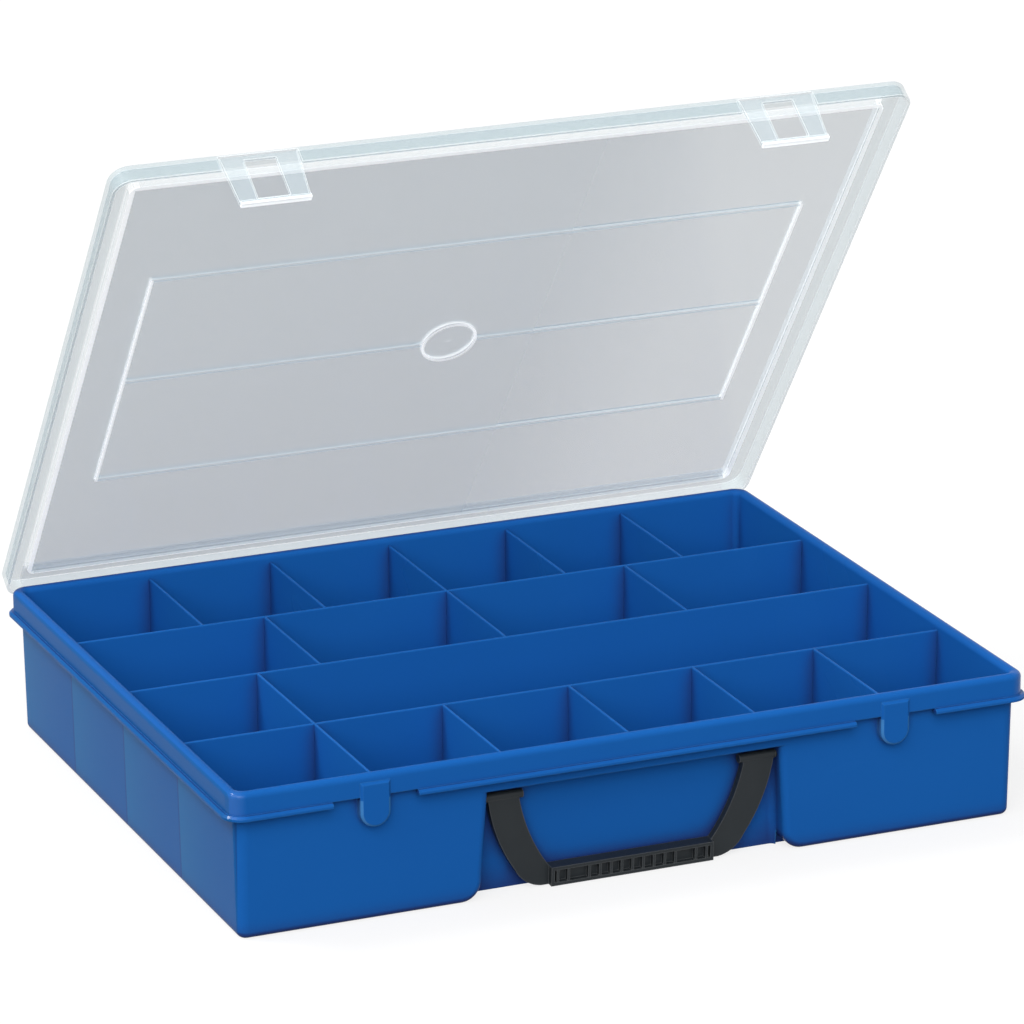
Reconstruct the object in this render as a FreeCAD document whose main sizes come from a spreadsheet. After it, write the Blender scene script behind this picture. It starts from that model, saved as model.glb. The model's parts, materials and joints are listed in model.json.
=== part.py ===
import FreeCAD, Part
import math
import os
import Sketcher

# Compartment storage box: a blue tray with eighteen compartments, a clear lid with two
# snap latches, and a carry handle in a recess of the front wall.
# Millimetres. Origin at the middle of the tray's underside, +X right, +Y to the hinge, +Z up.
# The lid and the latches are drawn closed and then turned open about the hinge pins.

SIZES = {
    # tray
    "band_length": 366.4,
    "band_depth": 287.4,
    "tray_height": 66.3,
    "rim_width": 5.2,
    "rim_round": 2.5,
    "rim_hollow": 9.0,
    "band_height": 9.7,
    "band_wall": 1.6,
    "band_corner": 7.0,
    "lip_reach": 2.0,
    "lip_height": 2.1,
    "lip_bevel": 0.9,
    "wall": 1.8,
    "floor_thickness": 2.0,
    "draft_angle": 1.0,
    "wall_corner": 5.0,
    "cavity_corner": 3.0,
    "edge_round": 3.0,
    # partitions
    "partition_drop": 3.4,
    "partition_top": 1.2,
    "partition_bevel": 0.35,
    "partition_root": 2.0,
    "unit_pitch": 58.7,
    "row_pitch": 68.8,
    # catches on the front wall
    "catch_inset": 63.4,
    "catch_width": 13.4,
    "catch_drop": 23.2,
    "catch_proud": 1.2,
    "catch_bevel": 1.0,
    "catch_shoulder": 3.2,
    "lip_gap": 38.0,
    # recess of the handle
    "recess_length": 141.4,
    "recess_draft_angle": 4.0,
    "recess_top": 49.0,
    "recess_setback": 15.7,
    "recess_side_wall": 3.0,
    "recess_round": 3.0,
    "recess_corner": 9.0,
    # handle
    "pivot_height": 44.0,
    "pivot_setback": 9.3,
    "pivot_clearance": 0.06,
    "pivot_hole_depth": 2.0,
    "trunnion_diameter": 3.0,
    "trunnion_length": 1.6,
    "handle_side_clearance": 0.6,
    "barrel_diameter": 4.0,
    "barrel_length": 17.0,
    "arm_inset": 1.5,
    "arm_width": 14.0,
    "arm_thickness": 3.4,
    "arm_outer_bow": 79.0,
    "arm_inner_bow": 81.0,
    "elbow_offset": 53.0,
    "elbow_round": 15.0,
    "heel_offset": 41.0,
    "handle_drop": 43.4,
    "handle_lean_angle": 3.0,
    "grip_length": 75.4,
    "grip_height": 8.6,
    "grip_depth": 6.3,
    "grip_front": 4.6,
    "grip_flange": 1.5,
    "grip_hollow": 2.4,
    "grip_rib": 1.2,
    "grip_rib_setback": 0.3,
    "grip_rib_pitch": 5.0,
    "grip_end_rib_offset": 29.6,
    "grip_end_rib_pitch": 5.0,
    # hinge
    "hinge_inset": 73.0,
    "hinge_height": 60.0,
    "hinge_gap": 0.4,
    "hinge_side_clearance": 0.4,
    "pin_diameter": 3.4,
    "pin_clearance": 0.05,
    "knuckle_wall": 1.45,
    "knuckle_length": 20.0,
    "knuckle_mouth": 2.6,
    "lug_thickness": 3.0,
    "lug_radius": 3.0,
    "lug_clearance": 0.4,
    "lug_arm_drop": 2.6,
    # lid
    "lid_open_angle": 54.0,
    "lid_clearance": 0.3,
    "lid_rest_gap": 0.3,
    "lid_wall": 1.5,
    "lid_edge_round": 1.2,
    "skirt_depth": 8.6,
    "panel_inset": 3.0,
    "panel_corner": 4.0,
    "panel_gap": 0.3,
    "frame_length": 307.0,
    "frame_depth": 140.0,
    "frame_rib": 1.2,
    "frame_height": 0.8,
    "gate_ring_diameter": 26.0,
    "gate_mark_diameter": 1.8,
    "gate_mark_height": 0.4,
    # latches
    "latch_root_width": 35.0,
    "latch_tip_width": 31.4,
    "latch_length": 28.4,
    "latch_slit": 0.4,
    "latch_side_slit": 0.4,
    "latch_hook_gap": 0.3,
    "latch_lip_height": 2.0,
    "latch_lip_reach": 1.0,
    "window_clearance": 0.5,
}

UNIT_COUNT = 6
REAR_ROW_COUNT = 6
SECOND_ROW_COUNT = 4
FRONT_ROW_COUNT = 6
GRIP_RIB_COUNT = 9
SIDES = {"left": -1, "right": 1}
TOLERANCE = 0.001  # for telling whether two places are the same

document = FreeCAD.newDocument("compartment_box")
sheet = document.addObject("Spreadsheet::Sheet", "dims")
for row, (alias, number) in enumerate(SIZES.items(), start=1):
    sheet.set("A%d" % row, alias)
    sheet.set("B%d" % row, str(number))
    sheet.setAlias("B%d" % row, alias)
document.recompute()


class Size:
    """A length that carries its number and the sheet expression it comes from."""

    def __init__(self, value, text):
        self.value = value
        self.text = text

    def __add__(self, other):
        other = as_size(other)
        return Size(self.value + other.value, "(%s + %s)" % (self.text, other.text))

    def __sub__(self, other):
        other = as_size(other)
        return Size(self.value - other.value, "(%s - %s)" % (self.text, other.text))

    def __mul__(self, factor):
        factor = as_size(factor)
        return Size(self.value * factor.value, "(%s * %s)" % (self.text, factor.text))

    def __truediv__(self, factor):
        factor = as_size(factor)
        return Size(self.value / factor.value, "(%s / %s)" % (self.text, factor.text))

    def __neg__(self):
        return Size(-self.value, "(-%s)" % self.text)


def as_size(item):
    if isinstance(item, Size):
        return item
    return Size(float(item), str(item))


def dim(alias):
    return Size(float(sheet.get(alias)), "dims." + alias)


def slope(alias):
    """Sideways step for each millimetre along a draft angle."""
    return Size(math.tan(math.radians(dim(alias).value)), "tan(dims.%s * 1 deg)" % alias)


def sine(alias):
    return Size(math.sin(math.radians(dim(alias).value)), "sin(dims.%s * 1 deg)" % alias)


def cosine(alias):
    return Size(math.cos(math.radians(dim(alias).value)), "cos(dims.%s * 1 deg)" % alias)


ZERO = as_size(0)

# Places that several pieces share
half_band_x = dim("band_length") / 2
half_band_y = dim("band_depth") / 2
half_inner_x = half_band_x - dim("rim_width")
half_inner_y = half_band_y - dim("rim_width")
half_wall_x = half_inner_x + dim("wall")
half_wall_y = half_inner_y + dim("wall")
band_bottom = dim("tray_height") - dim("band_height")
lip_bottom = band_bottom - dim("lip_height")
partition_height = dim("tray_height") - dim("partition_drop")
half_recess = dim("recess_length") / 2
half_recess_at_pivot = half_recess - dim("pivot_height") * slope("recess_draft_angle")
recess_back = half_band_y - dim("recess_setback")
pivot_y = -(half_band_y - dim("pivot_setback"))
pivot_hole_radius = dim("trunnion_diameter") / 2 + dim("pivot_clearance")
catch_x = half_band_x - dim("catch_inset")
catch_bottom = dim("tray_height") - dim("catch_drop")
catch_top = dim("tray_height") - dim("catch_shoulder")
hinge_x = half_band_x - dim("hinge_inset")
pin_radius = dim("pin_diameter") / 2
bore_radius = pin_radius + dim("pin_clearance")
knuckle_radius = bore_radius + dim("knuckle_wall")
hinge_y = half_band_y + knuckle_radius + dim("hinge_gap")
hinge_z = dim("hinge_height")
lug_offset = dim("knuckle_length") / 2 + dim("hinge_side_clearance") + dim("lug_thickness") / 2
skirt_inner_x = half_band_x + dim("lid_clearance")
skirt_inner_y = half_band_y + dim("lid_clearance")
half_lid_x = skirt_inner_x + dim("lid_wall")
half_lid_y = skirt_inner_y + dim("lid_wall")
lid_ceiling = dim("tray_height") + dim("lid_rest_gap")
lid_top = lid_ceiling + dim("lid_wall")
panel_bottom = partition_height + dim("panel_gap")
panel_top = panel_bottom + dim("lid_wall")
half_panel_x = half_inner_x - dim("panel_inset")
half_panel_y = half_inner_y - dim("panel_inset")
latch_axis_y = -(half_lid_y - dim("lid_wall") / 2)
latch_axis_z = lid_ceiling - dim("latch_slit") - dim("lid_wall") / 2
latch_tip = lid_top - dim("latch_length")
window_bottom = catch_bottom - dim("latch_hook_gap")
window_top = catch_top + dim("window_clearance")
half_window = dim("catch_width") / 2 + dim("window_clearance")


# Drawing helpers

def new_body(name):
    body = document.addObject("PartDesign::Body", name)
    body.Label = name
    return body


def origin_feature(body, role):
    return next(item for item in body.Origin.OriginFeatures if item.Role == role)


def new_sketch(body, plane, name, offset=ZERO):
    sketch = body.newObject("Sketcher::SketchObject", name)
    sketch.AttachmentSupport = [(origin_feature(body, plane), "")]
    sketch.MapMode = "FlatFace"
    sketch.setExpression("AttachmentOffset.Base.z", offset.text)
    return sketch


def bind(sketch, constraint, size):
    index = sketch.addConstraint(constraint)
    name = "size_%d" % index
    sketch.renameConstraint(index, name)
    sketch.setExpression("Constraints." + name, size.text)


def pin_point(sketch, curve, point, x, y):
    for kind, axis, size in (("DistanceX", -2, x), ("DistanceY", -1, y)):
        if abs(size.value) < TOLERANCE:
            sketch.addConstraint(Sketcher.Constraint("PointOnObject", curve, point, axis))
        elif size.value > 0:
            bind(sketch, Sketcher.Constraint(kind, -1, 1, curve, point, size.value), size)
        else:
            bind(sketch, Sketcher.Constraint(kind, curve, point, -1, 1, -size.value), -size)


def arc_between(start, end, radius, left_turn):
    chord = end - start
    middle = (start + end) / 2
    across = FreeCAD.Vector(-chord.y, chord.x, 0) / chord.Length
    rise = math.sqrt(radius ** 2 - (chord.Length / 2) ** 2)
    centre = middle + across * (rise if left_turn else -rise)
    first, last = (start, end) if left_turn else (end, start)
    angles = [math.atan2(point.y - centre.y, point.x - centre.x) for point in (first, last)]
    if angles[1] < angles[0]:
        angles[1] += 2 * math.pi
    circle = Part.Circle(centre, FreeCAD.Vector(0, 0, 1), radius)
    return Part.ArcOfCircle(circle, angles[0], angles[1])


def outline(sketch, corners):
    """Closed outline through (x, y) corners; (x, y, radius, left_turn) starts an arc there."""
    points = [FreeCAD.Vector(corner[0].value, corner[1].value, 0) for corner in corners]
    ends = []
    for index, corner in enumerate(corners):
        start = points[index]
        end = points[(index + 1) % len(points)]
        if len(corner) == 4:
            curve = sketch.addGeometry(arc_between(start, end, corner[2].value, corner[3]))
            ends.append((curve, 1, 2) if corner[3] else (curve, 2, 1))
        else:
            curve = sketch.addGeometry(Part.LineSegment(start, end))
            ends.append((curve, 1, 2))
    for index, corner in enumerate(corners):
        curve, first, last = ends[index]
        following, following_first, _ = ends[(index + 1) % len(ends)]
        sketch.addConstraint(Sketcher.Constraint("Coincident", curve, last, following, following_first))
    for index, corner in enumerate(corners):
        curve, first, last = ends[index]
        pin_point(sketch, curve, first, corner[0], corner[1])
        if len(corner) == 4:
            bind(sketch, Sketcher.Constraint("Radius", curve, corner[2].value), corner[2])


def rectangle(sketch, x_low, x_high, y_low, y_high):
    outline(sketch, [(x_low, y_low), (x_high, y_low), (x_high, y_high), (x_low, y_high)])


def rounded_rectangle(sketch, half_x, half_y, radius):
    x, y, r = half_x.value, half_y.value, radius.value
    stops = [(-1, -1), (1, -1), (1, 1), (-1, 1)]
    curves = []
    for index, (side_x, side_y) in enumerate(stops):
        next_x, next_y = stops[(index + 1) % 4]
        along = FreeCAD.Vector(next_x - side_x, next_y - side_y, 0) / 2 * r
        start = FreeCAD.Vector(side_x * x, side_y * y, 0) + along
        end = FreeCAD.Vector(next_x * x, next_y * y, 0) - along
        curves.append(sketch.addGeometry(Part.LineSegment(start, end)))
        centre = FreeCAD.Vector(next_x * (x - r), next_y * (y - r), 0)
        turn = (index - 1) * math.pi / 2
        circle = Part.Circle(centre, FreeCAD.Vector(0, 0, 1), r)
        curves.append(sketch.addGeometry(Part.ArcOfCircle(circle, turn, turn + math.pi / 2)))
    for index, curve in enumerate(curves):
        following = curves[(index + 1) % 8]
        sketch.addConstraint(Sketcher.Constraint("Tangent", curve, 2, following, 1))
    for index, curve in enumerate(curves[0::2]):
        kind = "Horizontal" if index % 2 == 0 else "Vertical"
        sketch.addConstraint(Sketcher.Constraint(kind, curve))
    bottom, corner, right, _, top, _, left, _ = curves
    for other in curves[3::2]:
        sketch.addConstraint(Sketcher.Constraint("Equal", corner, other))
    bind(sketch, Sketcher.Constraint("Radius", corner, r), radius)
    bind(sketch, Sketcher.Constraint("DistanceX", -1, 1, right, 1, x), half_x)
    bind(sketch, Sketcher.Constraint("DistanceX", left, 1, -1, 1, x), half_x)
    bind(sketch, Sketcher.Constraint("DistanceY", -1, 1, top, 1, y), half_y)
    bind(sketch, Sketcher.Constraint("DistanceY", bottom, 1, -1, 1, y), half_y)


def circle_at(sketch, x, y, radius):
    centre = FreeCAD.Vector(x.value, y.value, 0)
    curve = sketch.addGeometry(Part.Circle(centre, FreeCAD.Vector(0, 0, 1), radius.value))
    pin_point(sketch, curve, 3, x, y)
    bind(sketch, Sketcher.Constraint("Radius", curve, radius.value), radius)


def extrude(kind, body, sketch, length, reverse=False, symmetric=False, taper=None):
    feature = body.newObject("PartDesign::" + kind, sketch.Name + "_" + kind.lower())
    feature.Profile = sketch
    feature.setExpression("Length", length.text)
    feature.Reversed = reverse
    if symmetric:
        feature.SideType = "Symmetric"
    if taper:
        feature.setExpression("TaperAngle", taper.text)
    document.recompute()
    return feature


def pad(body, sketch, length, **options):
    return extrude("Pad", body, sketch, length, **options)


def pocket(body, sketch, length, **options):
    volume = body.Shape.Volume
    feature = extrude("Pocket", body, sketch, length, **options)
    if body.Shape.Volume >= volume:
        raise RuntimeError(sketch.Name + " cuts nothing")
    return feature


def edges_where(shape, test):
    return [index for index, edge in enumerate(shape.Edges, start=1) if test(edge)]


def lies_at_height(edge, height):
    box = edge.BoundBox
    return abs(box.ZMin - height.value) < TOLERANCE and abs(box.ZMax - height.value) < TOLERANCE


def ease_edges(kind, measure, body, name, size, test):
    base = body.Tip
    names = ["Edge%d" % index for index in edges_where(base.Shape, test)]
    feature = body.newObject("PartDesign::" + kind, name)
    feature.Base = (base, names)
    feature.setExpression(measure, size.text)
    document.recompute()
    return feature


def fillet(body, name, radius, test):
    return ease_edges("Fillet", "Radius", body, name, radius, test)


def chamfer(body, name, size, test):
    return ease_edges("Chamfer", "Size", body, name, size, test)


def boolean(kind, name, base, tool):
    feature = document.addObject("Part::" + kind, name)
    feature.Base = base
    feature.Tool = tool
    document.recompute()
    return feature


def turn_open(body):
    centre = "vector(0; %s; %s)" % (hinge_y.text, hinge_z.text)
    turn = "rotation(vector(1; 0; 0); -dims.lid_open_angle)"
    body.setExpression("Placement", "placement(vector(0; 0; 0); %s; %s)" % (turn, centre))


sub_parts = []


def hand_in(piece, label):
    piece.Label = label
    sub_parts.append(piece)


# Hollow of the tray, with the housing of the handle recess left standing

def draw_recess_corner(sketch, side, radius):
    """Space under a rounded lower corner of the recess; the tray and its hollow share the centre."""
    angle = "recess_draft_angle"
    centre_z = dim("recess_corner")
    centre_x = half_recess + centre_z * (as_size(1) - sine(angle)) / cosine(angle)
    side_x = centre_x - radius * cosine(angle)
    side_z = centre_z - radius * sine(angle)
    outline(sketch, [
        (half_recess * side, -centre_z),
        (centre_x * side, -centre_z),
        (centre_x * side, centre_z - radius, radius, side < 0),
        (side_x * side, side_z),
    ])


def make_cavity():
    body = new_body("cavity")
    top = new_sketch(body, "XY_Plane", "cavity_top", dim("tray_height"))
    rounded_rectangle(top, half_inner_x, half_inner_y, dim("cavity_corner"))
    depth = dim("tray_height") - dim("floor_thickness")
    pad(body, top, depth, reverse=True, taper=-dim("draft_angle"))

    housing = new_sketch(body, "XY_Plane", "cavity_housing")
    half_housing = half_recess + dim("recess_side_wall")
    outside = half_band_y + dim("lip_reach") * 2
    rectangle(housing, -half_housing, half_housing, -outside, -(recess_back - dim("wall")))
    pocket(body, housing, dim("recess_top") + dim("wall"), reverse=True, taper=-dim("recess_draft_angle"))
    corners = new_sketch(body, "XZ_Plane", "cavity_housing_corners", outside)
    for side in SIDES.values():
        draw_recess_corner(corners, side, dim("recess_corner") - dim("wall"))
    pocket(body, corners, outside - recess_back + dim("wall"))
    return body


# Tray: drafted walls, lip and band of the rim, catches, handle recess and hinge lugs

def make_tray_walls(body):
    foot = new_sketch(body, "XY_Plane", "walls", lip_bottom)
    rounded_rectangle(foot, half_wall_x, half_wall_y, dim("wall_corner"))
    pad(body, foot, lip_bottom, reverse=True, taper=-dim("draft_angle"))


def make_tray_rim(body):
    lip = new_sketch(body, "XY_Plane", "lip", lip_bottom)
    half_lip_x = half_band_x + dim("lip_reach")
    half_lip_y = half_band_y + dim("lip_reach")
    rounded_rectangle(lip, half_lip_x, half_lip_y, dim("band_corner") + dim("lip_reach"))
    pad(body, lip, dim("lip_height"))
    chamfer(body, "lip_upper_edge", dim("lip_bevel"), lambda edge: lies_at_height(edge, band_bottom))

    band = new_sketch(body, "XY_Plane", "band", band_bottom)
    rounded_rectangle(band, half_band_x, half_band_y, dim("band_corner"))
    pad(body, band, dim("band_height"))
    fillet(body, "rim_outer_edge", dim("rim_round"), lambda edge: lies_at_height(edge, dim("tray_height")))

    groove = new_sketch(body, "XY_Plane", "rim_groove", lip_bottom)
    groove_corner = dim("band_corner") - dim("band_wall")
    rounded_rectangle(groove, half_band_x - dim("band_wall"), half_band_y - dim("band_wall"), groove_corner)
    rounded_rectangle(groove, half_wall_x, half_wall_y, dim("wall_corner"))
    pocket(body, groove, dim("rim_hollow"), reverse=True)


def make_catches(body):
    gaps = new_sketch(body, "XY_Plane", "lip_gaps", lip_bottom)
    outside = half_band_y + dim("lip_reach") * 2
    for side in SIDES.values():
        middle = catch_x * side
        rectangle(gaps, middle - dim("lip_gap") / 2, middle + dim("lip_gap") / 2, -outside, -half_wall_y)
    pocket(body, gaps, dim("lip_height"), reverse=True)

    tongues = new_sketch(body, "XZ_Plane", "catches", half_band_y + dim("catch_proud"))
    radius = dim("catch_width") / 2
    for side in SIDES.values():
        middle = catch_x * side
        left = middle - radius
        right = middle + radius
        round_start = catch_bottom + radius
        corners = [(left, round_start, radius, True), (middle, catch_bottom, radius, True)]
        corners += [(right, round_start), (right, catch_top), (left, catch_top)]
        outline(tongues, corners)
    depth = dim("catch_proud") + half_band_y - half_wall_y + dim("wall") / 2
    pad(body, tongues, depth, reverse=True)

    front = -(half_band_y + dim("catch_proud")).value
    chamfer(body, "catch_edges", dim("catch_bevel"), lambda edge: abs(edge.BoundBox.YMax - front) < TOLERANCE)


def make_recess(body):
    hollow = new_sketch(body, "XY_Plane", "recess")
    outside = half_band_y + dim("lip_reach") * 2
    rectangle(hollow, -half_recess, half_recess, -outside, -recess_back)
    pocket(body, hollow, dim("recess_top"), reverse=True, taper=-dim("recess_draft_angle"))

    def upright_in_recess(edge):
        box = edge.BoundBox
        tall = box.ZLength > dim("recess_top").value / 2
        lean = dim("recess_top").value * slope("recess_draft_angle").value
        return tall and abs(abs(box.Center.x) - half_recess.value) < lean

    def behind_pivot(edge):
        return edge.BoundBox.Center.y > pivot_y.value

    fillet(body, "recess_back_corners", dim("recess_round"),
           lambda edge: upright_in_recess(edge) and behind_pivot(edge))
    corners = new_sketch(body, "XZ_Plane", "recess_corners", outside)
    for side in SIDES.values():
        draw_recess_corner(corners, side, dim("recess_corner"))
    pocket(body, corners, outside - recess_back)

    # this rounding runs on along the lower corners and all round the foot of the walls
    fillet(body, "recess_mouth_and_foot", dim("edge_round"),
           lambda edge: upright_in_recess(edge) and not behind_pivot(edge))

    for name, side in SIDES.items():
        mouth = half_recess_at_pivot - dim("pivot_hole_depth")
        seat = new_sketch(body, "YZ_Plane", "pivot_hole_" + name, mouth * side)
        circle_at(seat, pivot_y, dim("pivot_height"), pivot_hole_radius)
        pocket(body, seat, dim("pivot_hole_depth") * 2, reverse=side > 0)


def make_hinge_lugs(body):
    for name, side in SIDES.items():
        station = hinge_x * side
        for end_name, end in SIDES.items():
            place = station + lug_offset * end
            lug_name = "lug_%s_%s" % (name, end_name)
            eye = new_sketch(body, "YZ_Plane", lug_name + "_eye", place)
            circle_at(eye, hinge_y, hinge_z, dim("lug_radius"))
            pad(body, eye, dim("lug_thickness"), symmetric=True)
            arm = new_sketch(body, "YZ_Plane", lug_name + "_arm", place)
            root_y = half_band_y - dim("wall") / 2
            tangent = dim("lug_radius") * math.sqrt(0.5)
            corners = [(root_y, lip_bottom), (hinge_y + tangent, hinge_z - tangent), (hinge_y, hinge_z)]
            outline(arm, corners + [(root_y, hinge_z - dim("lug_arm_drop"))])
            pad(body, arm, dim("lug_thickness"), symmetric=True)
        pin = new_sketch(body, "YZ_Plane", "hinge_pin_" + name, station)
        circle_at(pin, hinge_y, hinge_z, pin_radius)
        pad(body, pin, lug_offset * 2, symmetric=True)


def make_tray_shell(cavity):
    body = new_body("tray_block")
    make_tray_walls(body)
    make_tray_rim(body)
    make_catches(body)
    make_recess(body)
    make_hinge_lugs(body)
    hollowed = boolean("Cut", "tray_hollowed", body, cavity)

    def on_rim_inside(edge):
        box = edge.BoundBox
        inside = box.XMax < half_inner_x.value + TOLERANCE and box.YMax < half_inner_y.value + TOLERANCE
        return inside and lies_at_height(edge, dim("tray_height"))

    shell = document.addObject("Part::Fillet", "tray_shell")
    shell.Base = hollowed
    radius = dim("rim_round").value
    shell.Edges = [(index, radius, radius) for index in edges_where(hollowed.Shape, on_rim_inside)]
    document.recompute()
    hand_in(shell, "tray_shell")


# Partitions: thin plates with draft, trimmed to the hollow of the tray

def drafted_plate(name, half_length, along_x, x, y):
    plate = document.addObject("Part::Wedge", name)
    for prop, size in (
        ("Xmin", -half_length), ("Xmax", half_length), ("X2min", -half_length), ("X2max", half_length),
        ("Ymin", ZERO), ("Ymax", partition_height - dim("floor_thickness")),
        ("Zmin", -dim("partition_root") / 2), ("Zmax", dim("partition_root") / 2),
        ("Z2min", -dim("partition_top") / 2), ("Z2max", dim("partition_top") / 2),
    ):
        plate.setExpression(prop, size.text)
    turn = 0 if along_x else 90
    place = "vector(%s; %s; dims.floor_thickness)" % (x.text, y.text)
    plate.setExpression("Placement", "placement(%s; rotation(%d; 0; 90))" % (place, turn))
    return plate


def bevel_top(name, plate):
    def on_top(edge):
        return lies_at_height(edge, partition_height) and edge.Length > dim("partition_top").value * 2

    beveled = document.addObject("Part::Chamfer", name)
    beveled.Base = plate
    size = dim("partition_bevel").value
    beveled.Edges = [(index, size, size) for index in edges_where(plate.Shape, on_top)]
    document.recompute()
    hand_in(beveled, name)


def make_row_partitions(cavity):
    plates = []
    for name, row in (("rear", 1), ("middle", 0), ("front", -1)):
        plate = drafted_plate("row_plate_" + name, half_band_x, True, ZERO, dim("row_pitch") * row)
        plates.append(plate)
        trimmed = boolean("Common", "row_%s_trimmed" % name, plate, cavity)
        bevel_top("row_partition_" + name, trimmed)
    rows = document.addObject("Part::MultiFuse", "row_plates")
    rows.Shapes = plates
    document.recompute()
    return rows


def even_columns(count):
    """Divider places of a row of equal compartments, in units from the middle of the tray."""
    return [UNIT_COUNT / count * number - UNIT_COUNT / 2 for number in range(1, count)]


def make_dividers(row_name, y_low, y_high, columns, cavity, rows):
    for number, column in enumerate(columns, start=1):
        name = "%s_divider_%d" % (row_name, number)
        x = dim("unit_pitch") * column
        y = (y_low + y_high) / 2
        plate = drafted_plate(name + "_plate", (y_high - y_low) / 2, False, x, y)
        trimmed = boolean("Common", name + "_trimmed", plate, cavity)
        bevel_top(name, boolean("Cut", name + "_between_rows", trimmed, rows))


# Lid: stepped panel that drops inside the rim, skirt round the band, rib frame and hinge knuckles

def make_lid_cover(body):
    cover = new_sketch(body, "XY_Plane", "lid_cover", lid_top)
    inner_corner = dim("band_corner") + dim("lid_clearance")
    rounded_rectangle(cover, half_lid_x, half_lid_y, inner_corner + dim("lid_wall"))
    pad(body, cover, dim("skirt_depth"), reverse=True)
    fillet(body, "lid_edge", dim("lid_edge_round"), lambda edge: lies_at_height(edge, lid_top))

    inside = new_sketch(body, "XY_Plane", "lid_inside", lid_top - dim("skirt_depth"))
    rounded_rectangle(inside, skirt_inner_x, skirt_inner_y, inner_corner)
    pocket(body, inside, dim("skirt_depth") - dim("lid_wall"), reverse=True)


def make_lid_panel(body):
    step = new_sketch(body, "XY_Plane", "panel_step", lid_top)
    rounded_rectangle(step, half_panel_x, half_panel_y, dim("panel_corner"))
    pad(body, step, lid_top - panel_bottom, reverse=True)
    dish = new_sketch(body, "XY_Plane", "panel_dish", lid_top)
    dish_corner = dim("panel_corner") - dim("lid_wall")
    rounded_rectangle(dish, half_panel_x - dim("lid_wall"), half_panel_y - dim("lid_wall"), dish_corner)
    pocket(body, dish, lid_top - panel_top)


def make_lid_ribs(body):
    half_x = dim("frame_length") / 2
    half_y = dim("frame_depth") / 2
    half_rib = dim("frame_rib") / 2
    ring_radius = dim("gate_ring_diameter") / 2
    ring_middle = ring_radius - half_rib
    for name, x_low, x_high, y_low, y_high in (
        ("front", -half_x, half_x, -half_y - half_rib, -half_y + half_rib),
        ("middle_left", -half_x, -ring_middle, -half_rib, half_rib),
        ("middle_right", ring_middle, half_x, -half_rib, half_rib),
        ("rear", -half_x, half_x, half_y - half_rib, half_y + half_rib),
        ("left", -half_x - half_rib, -half_x + half_rib, -half_y - half_rib, half_y + half_rib),
        ("right", half_x - half_rib, half_x + half_rib, -half_y - half_rib, half_y + half_rib),
    ):
        rib = new_sketch(body, "XY_Plane", "frame_rib_" + name, panel_top)
        rectangle(rib, x_low, x_high, y_low, y_high)
        pad(body, rib, dim("frame_height"))
    ring = new_sketch(body, "XY_Plane", "gate_ring", panel_top)
    circle_at(ring, ZERO, ZERO, ring_radius)
    circle_at(ring, ZERO, ZERO, ring_radius - dim("frame_rib"))
    pad(body, ring, dim("frame_height"))
    gate = new_sketch(body, "XY_Plane", "gate_mark", panel_top)
    circle_at(gate, ZERO, ZERO, dim("gate_mark_diameter") / 2)
    pad(body, gate, dim("gate_mark_height"))


def make_latch_openings(body):
    notches = new_sketch(body, "XY_Plane", "latch_openings", lid_top - dim("skirt_depth"))
    half_notch = dim("latch_root_width") / 2 + dim("latch_side_slit")
    for side in SIDES.values():
        middle = catch_x * side
        outside = half_lid_y + dim("lid_wall")
        rectangle(notches, middle - half_notch, middle + half_notch, -outside, -half_band_y)
    pocket(body, notches, dim("skirt_depth") - dim("lid_wall"), reverse=True)


def make_knuckles(body):
    for name, side in SIDES.items():
        station = hinge_x * side
        for end_name, end in SIDES.items():
            relief_name = "lug_relief_%s_%s" % (name, end_name)
            relief = new_sketch(body, "YZ_Plane", relief_name, station + lug_offset * end)
            circle_at(relief, hinge_y, hinge_z, dim("lug_radius") + dim("lug_clearance"))
            pocket(body, relief, dim("lug_thickness") + dim("hinge_side_clearance") * 2, symmetric=True)
        barrel = new_sketch(body, "YZ_Plane", "knuckle_" + name, station)
        circle_at(barrel, hinge_y, hinge_z, knuckle_radius)
        pad(body, barrel, dim("knuckle_length"), symmetric=True)
        bore = new_sketch(body, "YZ_Plane", "knuckle_bore_" + name, station)
        circle_at(bore, hinge_y, hinge_z, bore_radius)
        pocket(body, bore, dim("knuckle_length"), symmetric=True)
        mouth = new_sketch(body, "YZ_Plane", "knuckle_mouth_" + name, station)
        half_mouth = dim("knuckle_mouth") / 2
        below = hinge_z - knuckle_radius * 2
        rectangle(mouth, hinge_y - half_mouth, hinge_y + half_mouth, below, hinge_z)
        pocket(body, mouth, dim("knuckle_length"), symmetric=True)


def make_lid():
    body = new_body("lid")
    make_lid_cover(body)
    make_lid_panel(body)
    make_lid_ribs(body)
    make_latch_openings(body)
    make_knuckles(body)
    turn_open(body)
    hand_in(body, "lid")


# Latches: thin tabs with a window that snaps round the catch, hinged at their top edge

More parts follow.
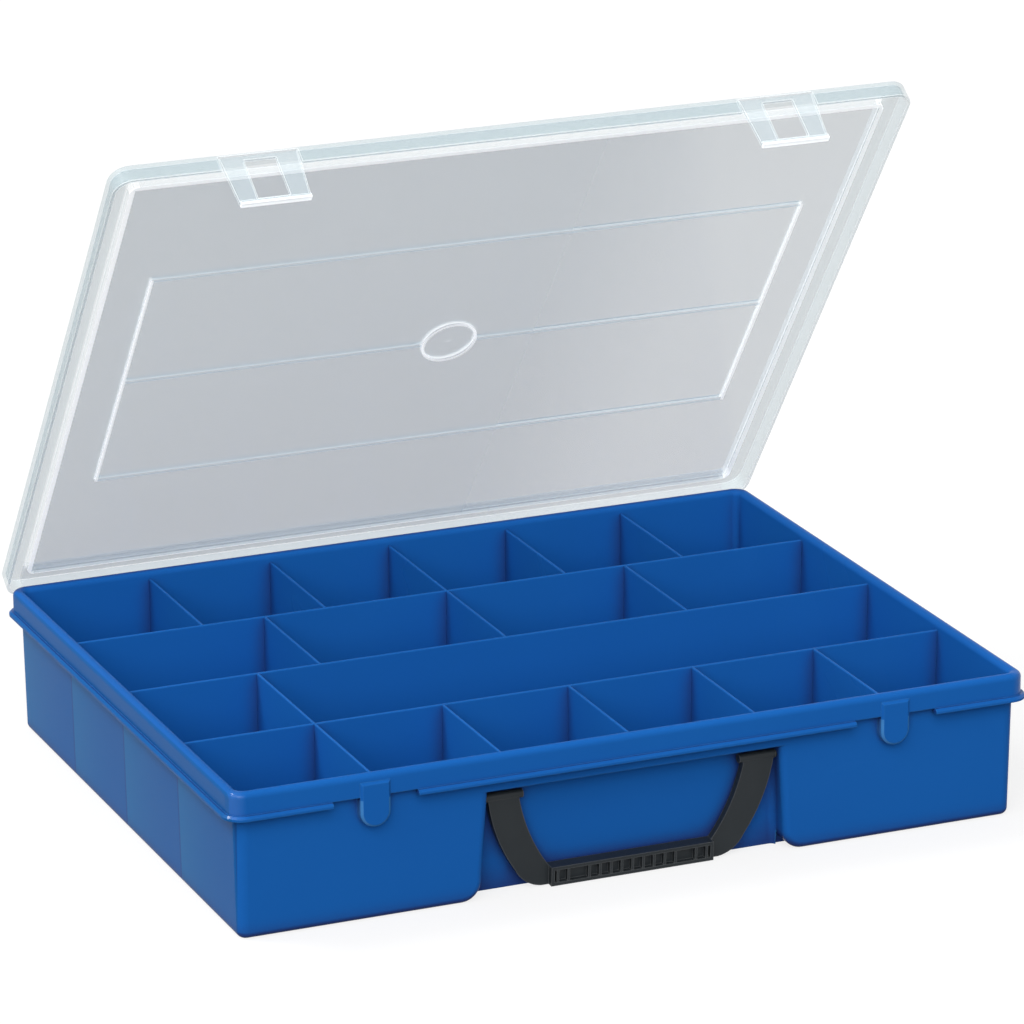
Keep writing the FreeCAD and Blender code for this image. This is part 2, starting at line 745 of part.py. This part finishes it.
def make_latch(name, side):
    body = new_body("latch_" + name)
    middle = catch_x * side
    half_root = dim("latch_root_width") / 2
    half_tip = dim("latch_tip_width") / 2
    tab = new_sketch(body, "XZ_Plane", "tab_" + name, half_lid_y)
    outline(tab, [
        (middle - half_tip, latch_tip), (middle + half_tip, latch_tip),
        (middle + half_root, latch_axis_z), (middle - half_root, latch_axis_z),
    ])
    pad(body, tab, dim("lid_wall"), reverse=True)

    root = new_sketch(body, "YZ_Plane", "tab_root_" + name, middle)
    circle_at(root, latch_axis_y, latch_axis_z, dim("lid_wall") / 2)
    pad(body, root, dim("latch_root_width"), symmetric=True)

    thumb = new_sketch(body, "XZ_Plane", "thumb_lip_" + name, half_lid_y)
    rectangle(thumb, middle - half_tip, middle + half_tip, latch_tip, latch_tip + dim("latch_lip_height"))
    pad(body, thumb, dim("latch_lip_reach"))

    window = new_sketch(body, "XZ_Plane", "window_" + name, half_lid_y)
    rectangle(window, middle - half_window, middle + half_window, window_bottom, window_top)
    pocket(body, window, dim("lid_wall"))
    turn_open(body)
    hand_in(body, "latch_" + name)


# Handle: drawn upright about its pivot, then hung in the recess with a slight lean to its back wall

def make_handle_arms(body):
    arm_outer = half_recess_at_pivot - dim("arm_inset")
    arm_inner = arm_outer - dim("arm_width")
    half_grip = dim("grip_length") / 2
    grip_top = -(dim("handle_drop") - dim("grip_height"))
    grip_bottom = -dim("handle_drop")
    features = []
    arm = new_sketch(body, "XZ_Plane", "arm")
    outline(arm, [
        (arm_inner, ZERO),
        (arm_outer, ZERO, dim("arm_outer_bow"), False),
        (dim("elbow_offset"), grip_top, dim("elbow_round"), False),
        (dim("heel_offset"), grip_bottom),
        (half_grip - dim("grip_flange"), grip_bottom),
        (half_grip - dim("grip_flange"), grip_top),
        (half_grip, grip_top, dim("arm_inner_bow"), True),
    ])
    features.append(pad(body, arm, dim("arm_thickness"), symmetric=True))

    barrel_end = half_recess_at_pivot - dim("handle_side_clearance")
    barrel = new_sketch(body, "YZ_Plane", "barrel", barrel_end)
    circle_at(barrel, ZERO, ZERO, dim("barrel_diameter") / 2)
    features.append(pad(body, barrel, dim("barrel_length"), reverse=True))
    trunnion = new_sketch(body, "YZ_Plane", "trunnion", barrel_end)
    circle_at(trunnion, ZERO, ZERO, dim("trunnion_diameter") / 2)
    features.append(pad(body, trunnion, dim("handle_side_clearance") + dim("trunnion_length")))

    mirrored = body.newObject("PartDesign::Mirrored", "second_arm")
    mirrored.Originals = features
    mirrored.MirrorPlane = (origin_feature(body, "YZ_Plane"), [""])
    body.Tip = mirrored
    document.recompute()


def make_grip(body):
    half_grip = dim("grip_length") / 2
    grip_bottom = -dim("handle_drop")
    grip_top = grip_bottom + dim("grip_height")
    channel_low = grip_bottom + dim("grip_flange")
    channel_high = grip_top - dim("grip_flange")
    bar = new_sketch(body, "XZ_Plane", "grip_bar", dim("grip_front"))
    rectangle(bar, -half_grip, half_grip, grip_bottom, grip_top)
    pad(body, bar, dim("grip_depth"), reverse=True)

    channel = new_sketch(body, "XZ_Plane", "grip_channel", dim("grip_front"))
    half_channel = half_grip - dim("grip_flange")
    rectangle(channel, -half_channel, half_channel, channel_low, channel_high)
    pocket(body, channel, dim("grip_hollow"))

    half_rib = dim("grip_rib") / 2
    rib_front = dim("grip_front") - dim("grip_rib_setback")
    rib_depth = dim("grip_hollow") - dim("grip_rib_setback")
    middle_ribs = [dim("grip_rib_pitch") * (number - GRIP_RIB_COUNT // 2) for number in range(GRIP_RIB_COUNT)]
    end_ribs = [dim("grip_end_rib_offset"), dim("grip_end_rib_offset") + dim("grip_end_rib_pitch")]
    ribs = new_sketch(body, "XZ_Plane", "grip_ribs", rib_front)
    for place in middle_ribs + end_ribs + [-offset for offset in end_ribs]:
        rectangle(ribs, place - half_rib, place + half_rib, channel_low, channel_high)
    pad(body, ribs, rib_depth, reverse=True)


def make_handle():
    body = new_body("carry_handle")
    make_handle_arms(body)
    make_grip(body)
    place = "vector(0; %s; dims.pivot_height)" % pivot_y.text
    body.setExpression("Placement", "placement(%s; rotation(vector(1; 0; 0); dims.handle_lean_angle))" % place)
    hand_in(body, "carry_handle")


cavity_body = make_cavity()
make_tray_shell(cavity_body)
row_plates = make_row_partitions(cavity_body)
row_line = dim("row_pitch")
one_unit_from_left = even_columns(UNIT_COUNT)[:1]
make_dividers("rear_row", row_line, half_inner_y, even_columns(REAR_ROW_COUNT), cavity_body, row_plates)
make_dividers("second_row", ZERO, row_line, even_columns(SECOND_ROW_COUNT), cavity_body, row_plates)
make_dividers("third_row", -row_line, ZERO, one_unit_from_left, cavity_body, row_plates)
make_dividers("front_row", -half_inner_y, -row_line, even_columns(FRONT_ROW_COUNT), cavity_body, row_plates)
make_lid()
for latch_side, latch_sign in SIDES.items():
    make_latch(latch_side, latch_sign)
make_handle()
document.recompute()

for item in document.Objects:
    if "Invalid" in item.State or "Error" in item.State:
        raise RuntimeError("%s did not build: %s" % (item.Label, item.State))
for piece in sub_parts:
    if piece.Shape.isNull() or not piece.Shape.isValid() or not piece.Shape.Solids:
        raise RuntimeError("%s has no valid solid" % piece.Label)

os.makedirs("parts", exist_ok=True)
for piece in sub_parts:
    piece.Shape.exportStep("parts/%s.step" % piece.Label)
    print("%-24s %d solid %10.1f mm3" % (piece.Label, len(piece.Shape.Solids), piece.Shape.Volume))
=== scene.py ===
import json
import math
import bpy
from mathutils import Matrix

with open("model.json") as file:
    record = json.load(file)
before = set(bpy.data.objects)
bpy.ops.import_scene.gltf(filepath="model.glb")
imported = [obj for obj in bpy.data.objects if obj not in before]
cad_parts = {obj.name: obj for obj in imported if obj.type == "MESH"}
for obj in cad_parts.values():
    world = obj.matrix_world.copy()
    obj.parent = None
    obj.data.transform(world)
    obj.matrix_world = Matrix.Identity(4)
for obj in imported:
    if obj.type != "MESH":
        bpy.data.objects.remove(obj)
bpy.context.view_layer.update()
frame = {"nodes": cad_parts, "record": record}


# node helpers

def link(tree, fromNode, outName, toNode, inName):
    tree.links.new(fromNode.outputs[outName], toNode.inputs[inName])


def addNode(tree, kind, x, y, **settings):
    node = tree.nodes.new(kind)
    node.location = (x, y)
    for name, value in settings.items():
        setattr(node, name, value)
    return node


def newGroup(name, inputs, outputs):
    group = bpy.data.node_groups.new(name, "ShaderNodeTree")
    for socketName, kind, value in inputs:
        socket = group.interface.new_socket(socketName, in_out="INPUT", socket_type=kind)
        socket.default_value = value
    for socketName, kind in outputs:
        group.interface.new_socket(socketName, in_out="OUTPUT", socket_type=kind)
    start = addNode(group, "NodeGroupInput", -900, 0)
    end = addNode(group, "NodeGroupOutput", 700, 0)
    return group, start, end


def placeGroup(tree, group, x, y, values):
    node = addNode(tree, "ShaderNodeGroup", x, y, node_tree=group)
    for name, value in values.items():
        node.inputs[name].default_value = value
    return node


def newMaterial(name):
    material = bpy.data.materials.new(name)
    material.use_nodes = True
    tree = material.node_tree
    shader = tree.nodes["Principled BSDF"]
    return material, tree, shader


def mapRange(tree, x, y, fromLow, fromHigh, toLow, toHigh):
    node = addNode(tree, "ShaderNodeMapRange", x, y)
    limits = {"From Min": fromLow, "From Max": fromHigh, "To Min": toLow, "To Max": toHigh}
    for socket, value in limits.items():
        node.inputs[socket].default_value = value
    return node


def fillSocket(tree, socket, value):
    if isinstance(value, (float, tuple)):
        socket.default_value = value
    else:
        tree.links.new(value, socket)


def mathNode(tree, operation, *values):
    node = addNode(tree, "ShaderNodeMath", 0, 0, operation=operation)
    for index, value in enumerate(values):
        fillSocket(tree, node.inputs[index], value)
    return node.outputs[0]


# masks run from 0 to 1: a product is their overlap, a maximum their union
def overlap(tree, first, second):
    return mathNode(tree, "MULTIPLY", first, second)


def union(tree, first, second):
    return mathNode(tree, "MAXIMUM", first, second)


def above(tree, value, limit):
    return mathNode(tree, "GREATER_THAN", value, limit)


def below(tree, value, limit):
    return mathNode(tree, "LESS_THAN", value, limit)


def band(tree, value, middle, half):
    return below(tree, mathNode(tree, "ABSOLUTE", mathNode(tree, "SUBTRACT", value, middle)), half)


def mixSockets(tree, kind, factor, first, second):
    node = addNode(tree, "ShaderNodeMix", 0, 0, data_type=kind)
    for name, value in (("Factor", factor), ("A", first), ("B", second)):
        fillSocket(tree, node.inputs[name], value)
    return node.outputs["Result"]


def mixColour(tree, factor, first, second):
    return mixSockets(tree, "RGBA", factor, first, second)


def mixValue(tree, factor, first, second):
    return mixSockets(tree, "FLOAT", factor, first, second)


# 1 for what the eye sees directly, in a reflection or through clear plastic, 0 for other light
def seenByEye(tree):
    path = addNode(tree, "ShaderNodeLightPath", -700, 200)
    mirrored = union(tree, path.outputs["Is Camera Ray"], path.outputs["Is Glossy Ray"])
    return union(tree, mirrored, path.outputs["Is Transmission Ray"])


# fine grain of a moulded face, plus a slow drift from the flow of the melt
grainLook = {
    "grainScale": 900.0,
    "grainDetail": 3.0,
    "flowScale": 14.0,
    "flowDetail": 2.0,
    "flowSwirl": 0.8,
}


def makeMouldGrain(look):
    inputs = [
        ("Grain Scale", "NodeSocketFloat", look["grainScale"]),
        ("Flow Scale", "NodeSocketFloat", look["flowScale"]),
    ]
    outputs = [("Grain", "NodeSocketFloat"), ("Flow", "NodeSocketFloat")]
    group, start, end = newGroup("mouldGrain", inputs, outputs)
    place = addNode(group, "ShaderNodeTexCoord", -900, -200)
    grain = addNode(group, "ShaderNodeTexNoise", -500, 100)
    grain.inputs["Detail"].default_value = look["grainDetail"]
    flow = addNode(group, "ShaderNodeTexNoise", -500, -200)
    flow.inputs["Detail"].default_value = look["flowDetail"]
    flow.inputs["Distortion"].default_value = look["flowSwirl"]
    for noise, scaleName, outName in ((grain, "Grain Scale", "Grain"), (flow, "Flow Scale", "Flow")):
        link(group, place, "Object", noise, "Vector")
        link(group, start, scaleName, noise, "Scale")
        link(group, noise, "Fac", end, outName)
    return group


# thin line along every moulded edge, from the bent normal of a small bevel
edgeLook = {"width": 0.0006, "contrast": 4.0, "samples": 6}


def makeEdgeLine(look):
    inputs = [
        ("Width", "NodeSocketFloat", look["width"]),
        ("Contrast", "NodeSocketFloat", look["contrast"]),
    ]
    group, start, end = newGroup("edgeLine", inputs, [("Edge", "NodeSocketFloat")])
    bevel = addNode(group, "ShaderNodeBevel", -650, 100, samples=look["samples"])
    flat = addNode(group, "ShaderNodeNewGeometry", -650, -150)
    dot = addNode(group, "ShaderNodeVectorMath", -400, 0, operation="DOT_PRODUCT")
    gain = addNode(group, "ShaderNodeMath", 0, 0, operation="MULTIPLY", use_clamp=True)
    link(group, start, "Width", bevel, "Radius")
    link(group, bevel, "Normal", dot, 0)
    link(group, flat, "Normal", dot, 1)
    bend = mathNode(group, "SUBTRACT", 1.0, dot.outputs["Value"])
    group.links.new(bend, gain.inputs[0])
    link(group, start, "Contrast", gain, 1)
    group.links.new(gain.outputs[0], end.inputs["Edge"])
    return group


mouldGrain = makeMouldGrain(grainLook)
edgeLine = makeEdgeLine(edgeLook)

# what all three plastics share: grain in the roughness and bump, a mask of the edges
mouldFinish = {"noiseLow": 0.3, "noiseHigh": 0.7, "grainDepth": 0.0002}


def addMouldFinish(tree, shader, look):
    grainScales = {"Grain Scale": look["grainScale"], "Flow Scale": look["flowScale"]}
    grain = placeGroup(tree, mouldGrain, -900, 0, grainScales)
    edgeShape = {"Width": look["edgeWidth"], "Contrast": look["edgeContrast"]}
    edge = placeGroup(tree, edgeLine, -900, -250, edgeShape)
    noiseLow, noiseHigh = mouldFinish["noiseLow"], mouldFinish["noiseHigh"]
    rough = mapRange(tree, -600, -150, noiseLow, noiseHigh, look["roughLow"], look["roughHigh"])
    bump = addNode(tree, "ShaderNodeBump", -350, -350)
    bump.inputs["Strength"].default_value = look["bump"]
    bump.inputs["Distance"].default_value = mouldFinish["grainDepth"]
    link(tree, grain, look["roughBy"], rough, "Value")
    link(tree, rough, "Result", shader, "Roughness")
    link(tree, grain, "Grain", bump, "Height")
    link(tree, bump, "Normal", shader, "Normal")
    shader.inputs["IOR"].default_value = look["ior"]
    shader.inputs["Specular IOR Level"].default_value = look["gloss"]
    return grain.outputs["Flow"], edge.outputs["Edge"], bump


# tray and partitions: satin blue polypropylene, glossy where it curves
trayLook = {
    "blue": (0.0105, 0.117, 0.424, 1),
    "deepBlue": (0.009, 0.104, 0.394, 1),
    "sideShadeBlue": (0.006, 0.1, 0.335, 1),
    "sideSheen": (0.01, 0.135, 0.36, 1),
    "sideSheenRise": 2.0,
    "sinkShade": (0.01, 0.075, 0.27, 1),
    "sideFrom": 0.1788,
    "sideTop": 0.0545,
    "rowPitch": 0.0688,
    "rowMiddle": 0.5,
    "sinkShare": 0.011,  # of a row's pitch, on each side of a partition
    "bandFrom": 0.1826,
    "edgeHighlightBlue": (0.02, 0.165, 0.48, 1),
    "edgeWidth": 0.0007,
    "edgeContrast": 3.0,
    "edgeSamples": 4,
    "cornerDusk": (0.02, 0.04, 0.17, 1),
    "cornerReach": 0.014,
    "cornerSamples": 8,
    "duskFull": 0.4,
    "duskEnd": 0.78,
    "duskMost": 0.9,
    "sheenEdge": 0.25,
    "sheenCurve": 0.5,
    "sheenRough": 0.06,
    "bandCorner": (0.1764, 0.1369, 0.0555),
    "cornerFade": 0.004,
    "catchHighlightBlue": (0.07, 0.28, 0.6, 1),
    "catchHighlightGain": 2.0,
    "catchPlace": 0.1198,
    "catchHalf": 0.012,
    "catchFront": 0.1403,
    "roughLow": 0.2,
    "roughHigh": 0.28,
    "roughBy": "Flow",
    "ior": 1.49,
    "gloss": 0.02,
    "grainScale": 1400.0,
    "flowScale": 11.0,
    "bump": 0.035,
}


def makeTrayBlue(look):
    material, tree, shader = newMaterial("trayBlue")
    flow, edge, bump = addMouldFinish(tree, shader, look)
    rounded = addNode(tree, "ShaderNodeBevel", -600, -550, samples=look["edgeSamples"])
    rounded.inputs["Radius"].default_value = look["edgeWidth"]
    link(tree, rounded, "Normal", bump, "Normal")
    place = addNode(tree, "ShaderNodeTexCoord", -1500, 300)
    apart = addNode(tree, "ShaderNodeSeparateXYZ", -1300, 300)
    link(tree, place, "Object", apart, "Vector")
    y, z = apart.outputs["Y"], apart.outputs["Z"]
    sideX = mathNode(tree, "ABSOLUTE", apart.outputs["X"])
    sideY = mathNode(tree, "ABSOLUTE", y)

    # outer sides: painted sheen makes each row's panel paler at its rear edge, and painted shade darkens a
    # sink line at every partition
    side = overlap(tree, above(tree, sideX, look["sideFrom"]), below(tree, z, look["sideTop"]))
    along = mathNode(tree, "FRACT", mathNode(tree, "DIVIDE", y, look["rowPitch"]))
    paler = overlap(tree, mathNode(tree, "POWER", along, look["sideSheenRise"]), side)
    rowMiddle = look["rowMiddle"]
    betweenSinks = overlap(tree, band(tree, along, rowMiddle, rowMiddle - look["sinkShare"]), side)
    sinkLine = mathNode(tree, "SUBTRACT", side, betweenSinks)

    # gloss on the band's rounded corners, the catch bevels and sharp edges, while flat walls are satin
    cornerX, cornerY, cornerZ = look["bandCorner"]
    curved = above(tree, z, cornerZ)
    for reach, start in ((sideX, cornerX), (sideY, cornerY)):
        rising = mapRange(tree, -1100, 300, start, start + look["cornerFade"], 0.0, 1.0)
        tree.links.new(reach, rising.inputs["Value"])
        curved = overlap(tree, curved, rising.outputs["Result"])
    facing = addNode(tree, "ShaderNodeNewGeometry", -1500, 0)
    facingApart = addNode(tree, "ShaderNodeSeparateXYZ", -1300, 0)
    link(tree, facing, "Normal", facingApart, "Vector")
    slanted = mathNode(tree, "SUBTRACT", 1.0, mathNode(tree, "ABSOLUTE", facingApart.outputs["Y"]))
    onCatch = overlap(tree, band(tree, sideX, look["catchPlace"], look["catchHalf"]),
                      below(tree, y, -look["catchFront"]))
    catchBevel = overlap(tree, overlap(tree, onCatch, below(tree, z, cornerZ)), slanted)
    sheenOnCurves = mathNode(tree, "MULTIPLY", union(tree, curved, catchBevel), look["sheenCurve"])
    sheenOnEdges = mathNode(tree, "MULTIPLY", edge, look["sheenEdge"])
    tree.links.new(union(tree, sheenOnCurves, sheenOnEdges), shader.inputs["Coat Weight"])
    shader.inputs["Coat Roughness"].default_value = look["sheenRough"]

    # painted shade: inner corners get duskier than the lamps alone make them
    corner = addNode(tree, "ShaderNodeAmbientOcclusion", -900, 300, samples=look["cornerSamples"])
    corner.inputs["Distance"].default_value = look["cornerReach"]
    dusk = mapRange(tree, -600, 350, look["duskFull"], look["duskEnd"], look["duskMost"], 0.0)
    link(tree, corner, "AO", dusk, "Value")

    colour = mixColour(tree, flow, look["deepBlue"], look["blue"])
    # painted shade: the outer sides and their band take a darker blue than the front
    anySide = union(tree, side, above(tree, sideX, look["bandFrom"]))
    colour = mixColour(tree, anySide, colour, look["sideShadeBlue"])
    # painted sheen: each side panel is paler towards its rear edge
    colour = mixColour(tree, paler, colour, look["sideSheen"])
    # painted shade along the sink line at each partition
    colour = mixColour(tree, sinkLine, colour, look["sinkShade"])
    # painted highlight: paler blue on the slanted bevels of each catch
    catchHighlight = mathNode(tree, "MULTIPLY", catchBevel, look["catchHighlightGain"])
    colour = mixColour(tree, catchHighlight, colour, look["catchHighlightBlue"])
    colour = mixColour(tree, dusk.outputs["Result"], colour, look["cornerDusk"])
    # painted highlight: paler blue along every sharp edge
    colour = mixColour(tree, edge, colour, look["edgeHighlightBlue"])
    tree.links.new(colour, shader.inputs["Base Color"])
    return material


# lid and latches: thin clear polypropylene, milky on the panel, with painted highlights and glow along
# ribs and edges
lidLook = {
    "panelMilk": (0.52, 0.625, 0.69, 1),
    "borderMilk": (0.48, 0.64, 0.69, 1),
    "latchMilk": (0.62, 0.76, 0.82, 1),
    "ribBlue": (0.58, 0.74, 0.83, 1),
    "white": (0.95, 0.97, 0.98, 1),
    "noGlow": (0.0, 0.0, 0.0, 1.0),
    "ribGlow": (0.07, 0.1, 0.12, 1),
    "rearGlow": (0.42, 0.45, 0.47, 1),
    "edgeGlow": (0.44, 0.45, 0.45, 1),
    "glowLevel": 1.0,
    "edgeWidth": 0.0009,
    "edgeContrast": 3.0,
    "panelHalf": (0.175, 0.1355),
    "frameHalf": (0.1535, 0.070),
    "ringRadius": 0.0124,
    "ribHalf": 0.0007,
    "stepHalf": 0.0011,
    "stepTop": 0.0638,
    "thumbLipTop": 0.0408,
    "latchFront": 0.1437,
    "latchPlace": 0.1198,
    "latchHalf": 0.0177,
    "panelAlpha": 0.38,
    "thinAlpha": 0.3,  # the panel is more see-through towards the right, so paler there
    "thinFrom": 0.02,
    "thinTo": 0.13,
    "borderAlpha": 0.27,
    "latchAlpha": 0.2,
    "stepAlpha": 0.08,
    "rearAlpha": 0.3,
    "ribAlpha": 0.55,
    "edgeAlpha": 0.72,
    "roughLow": 0.14,
    "roughHigh": 0.22,
    "roughBy": "Flow",
    "ior": 1.49,
    "gloss": 0.3,
    "grainScale": 700.0,
    "flowScale": 6.0,
    "bump": 0.03,
}


# coordinates of the closed lid, so that zones follow its panel and ribs
def closedLidPlace(tree):
    hinge = next(joint for joint in frame["record"]["behaviour"]["joints"] if joint["name"] == "lid_hinge")
    opened = math.radians(-hinge["range_deg"][0])
    _, hingeY, hingeZ = hinge["pos_m"]
    turnedY = hingeY * math.cos(opened) - hingeZ * math.sin(opened)
    turnedZ = hingeY * math.sin(opened) + hingeZ * math.cos(opened)
    place = addNode(tree, "ShaderNodeTexCoord", -1500, -500)
    closed = addNode(tree, "ShaderNodeMapping", -1300, -500)
    closed.inputs["Rotation"].default_value = (opened, 0, 0)
    closed.inputs["Location"].default_value = (0, hingeY - turnedY, hingeZ - turnedZ)
    apart = addNode(tree, "ShaderNodeSeparateXYZ", -1100, -500)
    link(tree, place, "Object", closed, "Vector")
    link(tree, closed, "Vector", apart, "Vector")
    return apart.outputs["X"], apart.outputs["Y"], apart.outputs["Z"]


def makeLidClear(look):
    material, tree, shader = newMaterial("lidClear")
    _, edge, _ = addMouldFinish(tree, shader, look)
    x, y, z = closedLidPlace(tree)
    sideX = mathNode(tree, "ABSOLUTE", x)
    sideY = mathNode(tree, "ABSOLUTE", y)
    squareX = mathNode(tree, "MULTIPLY", sideX, sideX)
    squareY = mathNode(tree, "MULTIPLY", sideY, sideY)
    fromMiddle = mathNode(tree, "SQRT", mathNode(tree, "ADD", squareX, squareY))
    panelX, panelY = look["panelHalf"]
    frameX, frameY = look["frameHalf"]
    rib = look["ribHalf"]
    stepHalf = look["stepHalf"]

    # panel with its frame of ribs and the ring at its middle
    panel = overlap(tree, below(tree, sideX, panelX), above(tree, y, -panelY))
    middleRib = overlap(tree, band(tree, sideY, 0.0, rib), above(tree, fromMiddle, look["ringRadius"]))
    longLines = union(tree, band(tree, sideY, frameY, rib), middleRib)
    longRibs = overlap(tree, longLines, below(tree, sideX, frameX + rib))
    crossRibs = overlap(tree, band(tree, sideX, frameX, rib), below(tree, sideY, frameY + rib))
    ring = band(tree, fromMiddle, look["ringRadius"], rib)

    # painted highlight on the step around the panel: bright low down at the left and front, all the way up
    # at the right
    stepX = overlap(tree, band(tree, sideX, panelX - stepHalf, stepHalf), below(tree, sideY, panelY))
    stepY = overlap(tree, band(tree, sideY, panelY - stepHalf, stepHalf), below(tree, sideX, panelX))
    lowStep = below(tree, z, look["stepTop"])
    frontHalf = below(tree, y, 0.0)
    frontStep = overlap(tree, overlap(tree, stepY, lowStep), frontHalf)
    sideStep = overlap(tree, stepX, union(tree, lowStep, above(tree, x, 0.0)))
    step = union(tree, sideStep, frontStep)
    # the rear step faces away from the lamps and is given painted glow below
    rearStep = overlap(tree, stepY, mathNode(tree, "SUBTRACT", 1.0, frontHalf))
    clearStep = mathNode(tree, "SUBTRACT", union(tree, stepX, stepY), step)

    latch = overlap(tree, band(tree, sideX, look["latchPlace"], look["latchHalf"]),
                    below(tree, y, -look["latchFront"]))
    thumbLip = below(tree, z, look["thumbLipTop"])
    # painted highlight: cross ribs, ring, lit step, thumb lip and every edge turn white
    lines = union(tree, union(tree, union(tree, crossRibs, ring), step), thumbLip)
    bright = union(tree, lines, edge)

    colour = mixColour(tree, panel, look["borderMilk"], look["panelMilk"])
    colour = mixColour(tree, latch, colour, look["latchMilk"])
    # painted highlight: the long ribs are a paler blue
    colour = mixColour(tree, longRibs, colour, look["ribBlue"])
    colour = mixColour(tree, bright, colour, look["white"])
    tree.links.new(colour, shader.inputs["Base Color"])

    haze = mapRange(tree, -600, -700, look["thinFrom"], look["thinTo"],
                    look["panelAlpha"], look["thinAlpha"])
    haze.interpolation_type = "SMOOTHSTEP"
    tree.links.new(x, haze.inputs["Value"])
    alpha = mixValue(tree, panel, look["borderAlpha"], haze.outputs["Result"])
    alpha = mixValue(tree, latch, alpha, look["latchAlpha"])
    alpha = mixValue(tree, clearStep, alpha, look["stepAlpha"])
    alpha = mixValue(tree, rearStep, alpha, look["rearAlpha"])
    alpha = mixValue(tree, longRibs, alpha, look["ribAlpha"])
    alpha = mixValue(tree, bright, alpha, look["edgeAlpha"])
    tree.links.new(alpha, shader.inputs["Alpha"])

    # painted glow: the long ribs, the rear step, and the white lines and edges glow though no lamp is in
    # them
    glow = mixColour(tree, longRibs, look["noGlow"], look["ribGlow"])
    glow = mixColour(tree, rearStep, glow, look["rearGlow"])
    glow = mixColour(tree, bright, glow, look["edgeGlow"])
    tree.links.new(glow, shader.inputs["Emission Color"])
    shader.inputs["Emission Strength"].default_value = look["glowLevel"]
    return material


# handle: satin black plastic, with a painted highlight along its edges
handleLook = {
    "black": (0.014, 0.018, 0.021, 1),
    "dusty": (0.023, 0.028, 0.032, 1),
    "edgeHighlight": (0.1, 0.105, 0.11, 1),
    "edgeWidth": 0.0009,
    "edgeContrast": 2.5,
    "roughLow": 0.36,
    "roughHigh": 0.5,
    "roughBy": "Grain",
    "ior": 1.48,
    "gloss": 0.22,
    "grainScale": 2200.0,
    "flowScale": 40.0,
    "bump": 0.12,
}


def makeHandleBlack(look):
    material, tree, shader = newMaterial("handleBlack")
    flow, edge, _ = addMouldFinish(tree, shader, look)
    colour = mixColour(tree, flow, look["black"], look["dusty"])
    colour = mixColour(tree, edge, colour, look["edgeHighlight"])
    tree.links.new(colour, shader.inputs["Base Color"])
    return material


finishes = {
    "tray_blue": makeTrayBlue(trayLook),
    "lid_clear": makeLidClear(lidLook),
    "handle_black": makeHandleBlack(handleLook),
}
for subpart in frame["record"]["subparts"]:
    frame["nodes"][subpart["node"]].data.materials[0] = finishes[subpart["material_slot"]]
print("materials set:", ", ".join(finishes))

# floor, white to the eye with the shadow kept
floorLook = {"size": 40.0, "glow": 0.78, "glowColour": (1, 1, 1, 1), "paint": (0.22, 0.22, 0.22, 1)}


def makeFloor(look):
    bpy.ops.object.select_all(action="DESELECT")
    bpy.ops.mesh.primitive_plane_add(size=look["size"], location=(0, 0, 0))
    floor = bpy.context.object
    floor.name = "studioFloor"
    material = bpy.data.materials.new("floorWhite")
    material.use_nodes = True
    tree = material.node_tree
    tree.nodes.clear()
    paint = addNode(tree, "ShaderNodeBsdfDiffuse", -300, 0)
    paint.inputs["Color"].default_value = look["paint"]
    glow = addNode(tree, "ShaderNodeEmission", -300, -150)
    glow.inputs["Color"].default_value = look["glowColour"]
    level = mathNode(tree, "MULTIPLY", seenByEye(tree), look["glow"])
    tree.links.new(level, glow.inputs["Strength"])
    surface = addNode(tree, "ShaderNodeAddShader", -50, 0)
    out = addNode(tree, "ShaderNodeOutputMaterial", 150, 0)
    tree.links.new(paint.outputs[0], surface.inputs[0])
    tree.links.new(glow.outputs[0], surface.inputs[1])
    tree.links.new(surface.outputs[0], out.inputs["Surface"])
    floor.data.materials.append(material)


makeFloor(floorLook)
print("floor laid")

# soft studio: broad light from the camera's side, tighter key over the rear left, fill from the left
studio = {
    "roomColour": (1, 1, 1, 1),
    "roomLevel": 0.38,
    "roomLevelSeen": 1.0,
    "lamps": {
        "frontSoftbox": {"place": (-0.95, -2.45, 1.8), "spread": 50.0, "strength": 2.0},
        "rearLeftKey": {"place": (-1.6, 1.0, 2.4), "spread": 16.0, "strength": 1.1},
        "leftFill": {"place": (-2.4, -0.5, 2.2), "spread": 50.0, "strength": 0.9},
    },
}


def addSun(name, lamp):
    bpy.ops.object.light_add(type="SUN", location=lamp["place"])
    light = bpy.context.object
    light.name = name
    light.data.angle = math.radians(lamp["spread"])
    light.data.energy = lamp["strength"]
    x, y, z = lamp["place"]  # aimed at the box, which stands at the origin
    light.rotation_euler = (math.atan2(math.hypot(x, y), z), 0, math.atan2(-y, -x) - math.pi / 2)


def makeStudio(setup):
    world = bpy.data.worlds.new("paleRoom")
    bpy.context.scene.world = world
    world.use_nodes = True
    tree = world.node_tree
    back = tree.nodes["Background"]
    back.inputs["Color"].default_value = setup["roomColour"]
    level = mapRange(tree, -300, 100, 0.0, 1.0, setup["roomLevel"], setup["roomLevelSeen"])
    tree.links.new(seenByEye(tree), level.inputs["Value"])
    link(tree, level, "Result", back, "Strength")
    for name, lamp in setup["lamps"].items():
        addSun(name, lamp)


makeStudio(studio)
print("studio lit by", len(studio["lamps"]), "lamps")

# camera at the photograph's place
view = {
    "place": (-0.93381, -2.21080, 0.90954),
    "turn": (71.8057, 0.2879, -23.061),
    "lens": 202.39,
    "sensor": 36,
    "farthest": 100,
}
viewTurn = [math.radians(angle) for angle in view["turn"]]
bpy.ops.object.camera_add(location=view["place"], rotation=viewTurn)
camera = bpy.context.object
camera.data.sensor_width = view["sensor"]
camera.data.lens = view["lens"]
camera.data.clip_end = view["farthest"]
bpy.context.scene.camera = camera
bpy.context.scene.view_settings.view_transform = "Standard"
